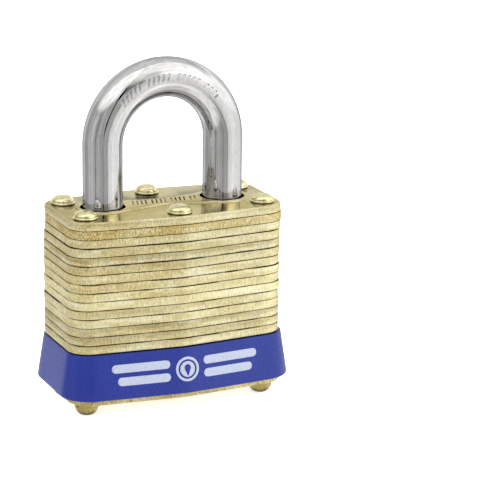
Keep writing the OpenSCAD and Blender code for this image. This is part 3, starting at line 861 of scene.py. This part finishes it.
def make_rivet_brass():
    """Drawn brass wire, headed cold and tumbled: a paler, shinier gold with small dings
    from the heading tool."""
    material, tree = new_finish("headed_rivet_brass", Metallic=1.0)
    cloud = grain(tree, 1.2, 3)
    body = add_node(tree, "ValToRGB", {0: cloud},
                    stops=[(0.3, "#E4D693"), (0.5, "#F0E5AE"), (0.7, "#F9F2CC")])
    ding = grain(tree, 0.5, 2)
    dull = add_node(tree, "MapRange", {0: ding, 1: 0.3, 2: 0.7, 3: 0.12, 4: 0.22})
    bump = add_node(tree, "Bump", {"Height": ding, "Distance": 0.014 * MM})
    return finished(material, painted_grey_reflection(tree, body), dull, bump)


def make_foot_shade_brass():
    """The same rivet brass on the feet, painted a darker, browner olive: painted shade of the
    shadowed table under the body that the feet would reflect, darkest at the tip, with dull scuffs."""
    material, tree = new_finish("rivet_foot_painted_shade_brass", Metallic=1.0)
    scuff = grain(tree, 0.5, 4, 0.6)
    body = add_node(tree, "ValToRGB", {0: scuff},
                    stops=[(0.32, "#94834A"), (0.5, "#B4A262"), (0.68, "#CCBC80")])
    # Painted contact shade: darker towards the foot's tip
    place = add_node(tree, "TexCoord", out="Object")
    contact_shade = add_node(tree, "SeparateXYZ", {0: place}, out=2)
    contact_shade = add_node(tree, "MapRange", {0: contact_shade, 1: 0.1 * MM, 2: 1.1 * MM, 3: 0.08, 4: 1.0})
    body = add_node(tree, "Mix", {0: 1.0, 6: body, 7: contact_shade}, **TINTED)
    dull = add_node(tree, "MapRange", {0: scuff, 1: 0.3, 2: 0.7, 3: 0.2, 4: 0.42})
    bump = add_node(tree, "Bump", {"Height": scuff, "Distance": 0.02 * MM})
    return finished(material, body, dull, bump)


def make_turned_brass():
    """Free-cutting brass turned on a lathe: bright yellow with fine rings from the tool
    round the cylinder's axis, 0.08 mm apart."""
    material, tree = new_finish("turned_brass", Metallic=1.0)
    cloud = grain(tree, 2, 3)
    body = add_node(tree, "ValToRGB", {0: cloud}, stops=[(0.3, "#C4A85C"), (0.7, "#DDC57C")])
    rings = grain(tree, (2.4, 2.4, 0.08), 3)
    dull = add_node(tree, "MapRange", {0: rings, 1: 0.3, 2: 0.7, 3: 0.22, 4: 0.36})
    bump = add_node(tree, "Bump", {"Height": rings, "Distance": 0.006 * MM})
    return finished(material, body, dull, bump)


def make_chrome():
    """Bright chromium plate over hardened steel: a cool mirror that dims towards the rims,
    with a faint orange-peel ripple from the bar's polish and hairline wiping scratches along
    the legs."""
    material, tree = new_finish("bright_chrome_plate", Metallic=1.0,
                                Specular_Tint=linear("#B8B8BC"))
    cloud = grain(tree, 6, 3)
    body = add_node(tree, "ValToRGB", {0: cloud}, stops=[(0.3, "#D6D5D4"), (0.7, "#E4E3E2")])
    wipe = grain(tree, (0.12, 0.12, 1.7), 3, 0.65)
    hair = add_node(tree, "MapRange", {0: wipe, 1: 0.32, 2: 0.48, 3: 0.80, 4: 1.0})
    body = add_node(tree, "Mix", {0: 1.0, 6: body, 7: hair}, **TINTED)
    dull = add_node(tree, "MapRange", {0: wipe, 1: 0.35, 2: 0.7, 3: 0.03, 4: 0.11})
    peel = grain(tree, (1.3, 1.3, 3.0), 1)
    bump = add_node(tree, "Bump", {"Height": peel, "Distance": 0.007 * MM})
    bump = add_node(tree, "Bump", {"Height": wipe, "Distance": 0.002 * MM, "Normal": bump})
    return finished(material, body, dull, bump)


def make_grey_metal(name, low, high, roughness):
    """The inner parts' grey metals, each between two greys: pressed steel with a thin zinc
    coat, drawn spring wire, and turned nickel silver. They look soft and plain, with a faint
    mottle of 0.7 mm, the size of a zinc coat's crystals."""
    material, tree = new_finish(name, Metallic=1.0)
    mottle = grain(tree, 0.7, 4)
    body = add_node(tree, "ValToRGB", {0: mottle}, stops=[(0.35, low), (0.65, high)])
    dull = add_node(tree, "MapRange", {0: mottle, 1: 0.3, 2: 0.7, 3: roughness,
                                       4: roughness + 0.12})
    bump = add_node(tree, "Bump", {"Height": mottle, "Distance": 0.006 * MM})
    return finished(material, body, dull, bump)


def make_blue_vinyl():
    """Plasticised PVC, injection moulded: a deep even blue with a satin skin and the very
    fine grain of the mould."""
    material, tree = new_finish("moulded_blue_vinyl", IOR=1.52)
    cloud = grain(tree, 8, 2)
    body = add_node(tree, "ValToRGB", {0: cloud}, stops=[(0.3, "#061C6E"), (0.7, "#0A2176")])
    speck = grain(tree, 0.35, 2)
    speck = add_node(tree, "MapRange", {0: speck, 1: 0.70, 2: 0.76, 3: 0.0, 4: 0.25})
    body = add_node(tree, "Mix", {0: speck, 6: body, 7: linear("#3A4A94")}, **COLOUR)
    # The lip under the plates is darker: painted shade of the gap above it, with some grime
    place = add_node(tree, "TexCoord", out="Object")
    lip = add_node(tree, "SeparateXYZ", {0: place}, out=2)
    lip_darkening_z = MOULD_HIGH - 0.07 - GRIME_AND_SHADE
    lip = add_node(tree, "MapRange", {0: lip, 1: lip_darkening_z * MM, 2: (lip_darkening_z + GRIME_AND_SHADE) * MM,
                                      3: 1.0, 4: 0.6})
    body = add_node(tree, "Mix", {0: 1.0, 6: body, 7: lip}, **TINTED)
    mould = grain(tree, 0.13, 3)
    dull = add_node(tree, "MapRange", {0: mould, 1: 0.3, 2: 0.7, 3: 0.26, 4: 0.30})
    sink = grain(tree, 3, 1)
    bump = add_node(tree, "Bump", {"Height": sink, "Distance": 0.03 * MM})
    bump = add_node(tree, "Bump", {"Height": mould, "Distance": 0.0012 * MM, "Normal": bump})
    return finished(material, body, dull, bump)


def make_silver_print():
    """Hot-stamped silver foil on the blue: a pale, slightly blue satin film, worn a little
    thin in places."""
    material, tree = new_finish("hot_stamped_silver_foil", Metallic=0.2)
    wear_and_shade = grain(tree, 0.25, 4)
    body = add_node(tree, "ValToRGB", {0: wear_and_shade},
                    stops=[(0.25, "#7F87A6"), (0.42, "#9DA5B8"), (0.7, "#A9B0BE")])
    dull = add_node(tree, "MapRange", {0: wear_and_shade, 1: 0.3, 2: 0.7, 3: 0.5, 4: 0.34})
    bump = add_node(tree, "Bump", {"Height": wear_and_shade, "Distance": 0.005 * MM})
    return finished(material, body, dull, bump)


sheared_brass = make_sheared_brass()
polished_brass = make_polished_brass()
rivet_brass = make_rivet_brass()
foot_shade_brass = make_foot_shade_brass()
turned_brass = make_turned_brass()
chrome = make_chrome()
zinc_steel = make_grey_metal("zinc_plated_pressed_steel", "#8E9094", "#B2B4B6", 0.3)
spring_wire = make_grey_metal("drawn_spring_wire", "#7C7E83", "#A6A8AC", 0.22)
nickel_silver = make_grey_metal("turned_nickel_silver", "#A9A596", "#C9C5B6", 0.2)
blue_vinyl = make_blue_vinyl()
silver_print = make_silver_print()

# ------------------------------------------------------------------ the pieces


def plate_tint_and_painted_light(points, toe_warm):
    """How warm and how bright the brass is drawn at each point: warmer on the toe half, warmer
    at the heel end's corners as a painted warm reflection, and brighter round all four corners as
    painted light."""
    x, y = points[:, 0], np.abs(points[:, 1])
    # Painted warm reflection at the heel end's corners
    warm = 0.45 * smooth_step((x - 18.2) / 1.2) * smooth_step((y - 4.5) / 1.5)
    warm += toe_warm * smooth_step(0.5 - x)
    # Painted light: brighter round all four corners
    painted_corner_light = smooth_step((np.abs(x) - CORNER_X + 1.0) / 2.0) * smooth_step((y - CORNER_Y) / 1.5)
    return warm, 1 + 0.12 * painted_corner_light


def make_plates():
    """Every plate gets its own edge rounds, a small slip out of line and its own tone. The
    joint mark, oxide and painted shade, runs from 1 in the joint's floor to 0 on the open edge."""
    for number, name in enumerate(PLATES):
        low = PLATE_LOW[name] + RELIEF * JOINT_ABOVE[number]
        high = PLATE_LOW[name] + PLATE_T
        high -= RELIEF * (1 - JOINT_ABOVE[number - 1]) if number else RELIEF / 2
        above = JOINT_DARK[number - 1] * (1 - JOINT_ABOVE[number - 1]) if number else 0.0
        below = JOINT_DARK[number] * JOINT_ABOVE[number]
        roll = ROLL + OPEN_JOINT * below
        nip = NIP + OPEN_JOINT * above if number else OPEN_JOINT
        inset = HALF_WIDTH - box_mm(name)[1][0]
        profile = edge_profile(low, high, roll, nip) - [inset, 0]
        holes, edges = cad_holes(name)
        if number == 0:
            shell = top_plate_shell(low, high, profile, holes, edges)
        else:
            shell = plate_shell(profile, holes, edges, low, high, wave=0.012, phase=2.4 * number,
                                shift=(PLATE_SLIP_X[number], PLATE_SLIP_Y[number]))
        walls = (len(profile) - 1) * len(LOOP)
        joint_oxide_and_shade = np.zeros(len(profile))
        joint_oxide_and_shade[:ROLL_ROWS] = min(1.7 * below, 1) * SEAM_FADE
        if number:
            joint_oxide_and_shade[-NIP_ROWS:] = min(1.7 * above, 1) * SEAM_FADE[::-1]
        points, quads, triangles = shell[0], len(shell[1]), len(shell[2])
        inner = np.zeros(len(points) - len(profile) * len(LOOP))
        face_finish = np.concatenate([np.zeros(walls), np.ones(quads - walls + triangles)])
        if number == 0:
            floors = len(stamp_marks())
            # The stamped marks' floors take part of the joint mark: painted shade in the recesses
            inner[-4 * floors:] = 0.55
            face_finish[quads - 5 * floors:quads] = 0
            face_finish[walls:walls + (len(PAD_EDGE) - 1) * len(pad_loop(0))] = 0
        level = np.clip((profile[:, 1] - low) / (high - low), 0, 1)
        warm, bright = plate_tint_and_painted_light(points, 0.32 if number < UPPER_PLATES else 0.12)
        marks = {"joint_oxide_and_shade": np.append(np.repeat(joint_oxide_and_shade, len(LOOP)), inner),
                 "level": np.append(np.repeat(level, len(LOOP)), np.ones(len(inner))),
                 "warm": np.clip(PLATE_WARM[number] + warm, 0, 1),
                 "tone": PLATE_TONE[number] * bright,
                 "band": np.full(len(points), PLATE_BAND[number])}
        make_piece(f"{name}_stamped", shell, [sheared_brass, polished_brass], "case",
                   [name], marks=marks, face_finish=face_finish)


make_plates()
make_rivets()
make_piece("bumper_moulded", bumper_shell(), blue_vinyl, "case", ["bumper"])
make_emblem()
bar = shackle_shell()
make_piece("shackle_bar", bar, [chrome, zinc_steel], "shackle", ["shackle"], sharp=40,
           face_finish=milled_faces(bar))
# Each spring's body, the axis it lies along, its wire's radius and its turns
SPRINGS = {"shackle_spring": ("heel_spring", 2, 0.45, 5)}
SPRINGS |= {f"{side}_lever_spring": ("case", 0, 0.18, 5) for side in ("toe", "heel")}
SPRINGS |= {f"pin_spring_{number}": ("case", 1, 0.16, 4) for number in range(1, 5)}
for node, (body, *coil) in SPRINGS.items():
    make_piece(f"{node}_coil", spring_shell(node, *coil), spring_wire, body, [node])

# The machined and pressed inner parts keep their CAD shapes and get their finishes
CAD_FINISH = {
    "cylinder_housing": turned_brass, "cylinder_plug": turned_brass,
    "plug_retainer": zinc_steel, "pin_chamber_cover": turned_brass,
    "locking_cam": zinc_steel, "toe_lever": zinc_steel, "heel_lever": zinc_steel,
}
for number in range(1, 5):
    CAD_FINISH[f"key_pin_{number}"] = turned_brass
    CAD_FINISH[f"driver_pin_{number}"] = nickel_silver
for node, finish in CAD_FINISH.items():
    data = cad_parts[node].data
    data.materials.clear()
    data.materials.append(finish)

# ------------------------------------------------------------------ studio


def make_floor():
    """A wide white table top just under the feet, lit a little from within, and clear when
    it is seen from below."""
    half, under = 3.0, -0.05 * MM
    mesh = bpy.data.meshes.new("studio_floor")
    corners = [(-half, -half, under), (half, -half, under), (half, half, under), (-half, half, under)]
    mesh.from_pydata(corners, [], [(0, 1, 2, 3)])
    floor = bpy.data.objects.new("studio_floor", mesh)
    bpy.context.scene.collection.objects.link(floor)
    material, tree = new_finish("opal_light_table", Roughness=0.9, Emission_Strength=0.7,
                                Emission_Color=linear("#FFFFFF"))
    shader = tree.nodes["Principled BSDF"]
    tint = grain(tree, 40, 2)
    tint = add_node(tree, "ValToRGB", {0: tint}, stops=[(0.3, "#F4F4F4"), (0.7, "#F8F8F8")])
    tree.links.new(tint, shader.inputs["Base Color"])
    below = add_node(tree, "NewGeometry", out="Backfacing")
    clear = add_node(tree, "BsdfTransparent")
    surface = add_node(tree, "MixShader", {0: below, 1: shader.outputs[0], 2: clear})
    tree.links.new(surface, tree.nodes["Material Output"].inputs["Surface"])
    mesh.materials.append(material)
    floor.visible_glossy = False


def aim(place, target):
    """The matrix of a light at place that shines towards target."""
    back = np.array(place, float) - np.array(target, float)
    back = back / np.linalg.norm(back)
    side = np.cross([0, 0, 1], back)
    side = side / np.linalg.norm(side)
    up = np.cross(back, side)
    rows = np.column_stack([side, up, back, place])
    return Matrix([*rows.tolist(), (0, 0, 0, 1)])


def softbox(name, place, size, power):
    """A square area light that looks at the middle of the padlock."""
    light = bpy.data.lights.new(name, "AREA")
    light.shape = "SQUARE"
    light.size = size
    light.energy = power
    lamp = bpy.data.objects.new(name, light)
    lamp.matrix_world = aim(place, (0, 0, 0.03))
    lamp.visible_glossy = False
    bpy.context.scene.collection.objects.link(lamp)


def panel(tree, flat, height, azimuth, half_width, edge, low, high, height_edge=0.15):
    """A soft upright panel in the surroundings: 1 within half_width degrees of an azimuth
    (0 is the front, 90 the right) and between two heights of the unit direction."""
    a = math.radians(azimuth)
    near = add_node(tree, "VectorMath", {0: flat, 1: (math.sin(a), -math.cos(a), 0)}, out="Value",
                    operation="DOT_PRODUCT")
    inner, outer = math.cos(math.radians(half_width)), math.cos(math.radians(half_width + edge))
    soft = {"interpolation_type": "SMOOTHSTEP"}
    across = add_node(tree, "MapRange", {0: near, 1: outer, 2: inner}, **soft)
    above = add_node(tree, "MapRange", {0: height, 1: low - height_edge, 2: low}, **soft)
    below = add_node(tree, "MapRange", {0: height, 1: high + height_edge, 2: high}, **soft)
    tall = add_node(tree, "Math", {0: above, 1: below}, operation="MULTIPLY")
    return add_node(tree, "Math", {0: across, 1: tall}, operation="MULTIPLY")


# Panels of the surroundings: azimuth, half width and soft edge in degrees, low and high as
# heights of the unit direction, and the brightness added. Negative ones are dark cards.
PANELS = [
    (76, 36, 46, -0.6, 0.45, 0.60),
    (-162, 14, 12, -0.6, 0.40, 0.38),
    (150, 22, 26, 0.1, 0.45, 0.38),
    (60, 35, 8, 0.1, 0.70, 0.26),
    (-67, 30, 22, 0.52, 1.3, 0.60),
    (0, 14, 10, 0.45, 0.72, -0.30),
    (-40, 45, 20, -1.2, -0.55, 0.25),
    (-90, 8, 14, -0.6, 0.3, 0.20),
    (-17, 4, 8, -0.6, 0.0, -0.04),
    (-17, 1, 3, 0.0, 0.52, -0.42),
    (-62, 1.0, 2.0, -0.6, 0.35, -0.24),
    (-96, 1.0, 3.0, -0.6, 0.35, -0.22),
    (-46, 2.0, 2.0, -0.6, 0.35, 0.16),
    (6, 1.0, 2.0, -0.6, 0.35, -0.25),
    (118, 4, 3, -0.6, 0.35, -0.45),
]


def make_surroundings():
    """The studio that the metal reflects: mid grey walls, big white panels on the right and
    high on the left, smaller ones behind, a white ceiling and table, dark cards between them,
    and some clutter that breaks them up. The camera itself sees plain white."""
    world = bpy.data.worlds.new("studio")
    world.use_nodes = True
    bpy.context.scene.world = world
    tree = world.node_tree
    direction = add_node(tree, "TexCoord", out="Generated")
    height = add_node(tree, "SeparateXYZ", {0: direction}, out=2)
    level = add_node(tree, "VectorMath", {0: direction, 1: (1, 1, 0)}, operation="MULTIPLY")
    flat = add_node(tree, "VectorMath", {0: level}, operation="NORMALIZE")
    value = add_node(tree, "MapRange", {0: height, 1: 0.40, 2: 0.75, 3: 0.45, 4: 0.80})
    table = add_node(tree, "MapRange", {0: height, 1: -0.42, 2: -0.62, 3: 0.0, 4: 0.35})
    value = add_node(tree, "Math", {0: value, 1: table}, operation="ADD")
    toward = add_node(tree, "VectorMath", {0: direction, 1: (0.36, -0.48, 0.80)}, out="Value",
                      operation="DOT_PRODUCT")
    overhead = add_node(tree, "MapRange", {0: toward, 1: 0.76, 2: 0.86, 3: 0.0, 4: 0.46})
    value = add_node(tree, "Math", {0: value, 1: overhead}, operation="ADD")
    for azimuth, half, edge, low, high, bright in PANELS:
        share = panel(tree, flat, height, azimuth, half, edge, low, high)
        value = add_node(tree, "Math", {0: share, 1: bright, 2: value}, operation="MULTIPLY_ADD")
    clutter = add_node(tree, "Mapping", {"Vector": direction, "Scale": (9, 9, 2.5)})
    clutter = add_node(tree, "TexNoise", {"Vector": clutter, "Scale": 1.0, "Detail": 4.0})
    clutter = add_node(tree, "MapRange", {0: clutter, 1: 0.36, 2: 0.64, 3: 0.84, 4: 1.14})
    value = add_node(tree, "Math", {0: value, 1: clutter}, operation="MULTIPLY")
    seen = add_node(tree, "LightPath", out="Is Camera Ray")
    shade = add_node(tree, "Mix", {0: seen, 6: value, 7: linear("#FFFFFF")}, **COLOUR)
    tree.links.new(shade, tree.nodes["Background"].inputs["Color"])


make_floor()
make_surroundings()
softbox("overhead_softbox", (0.05, -0.05, 0.7), 0.6, 3.2)
softbox("left_softbox", (-0.6, -0.25, 0.4), 0.45, 2.2)
softbox("right_softbox", (0.6, -0.3, 0.35), 0.45, 1.6)

CAMERA_PLACE = (-0.148425, -0.364087, 0.134934)
CAMERA_RIGHT = (0.91287, -0.4081, 0.01153)
CAMERA_UP = (0.09657, 0.24327, 0.96514)
CAMERA_BACK = (-0.39667, -0.87993, 0.26148)
lens = bpy.data.cameras.new("camera")
lens.sensor_width = 36
lens.lens = 168.06
lens.clip_start, lens.clip_end = 0.02, 20
camera = bpy.data.objects.new("camera", lens)
rows = np.column_stack([CAMERA_RIGHT, CAMERA_UP, CAMERA_BACK, CAMERA_PLACE])
camera.matrix_world = Matrix([*rows.tolist(), (0, 0, 0, 1)])
bpy.context.scene.collection.objects.link(camera)
bpy.context.scene.camera = camera
bpy.context.scene.view_settings.view_transform = "Standard"
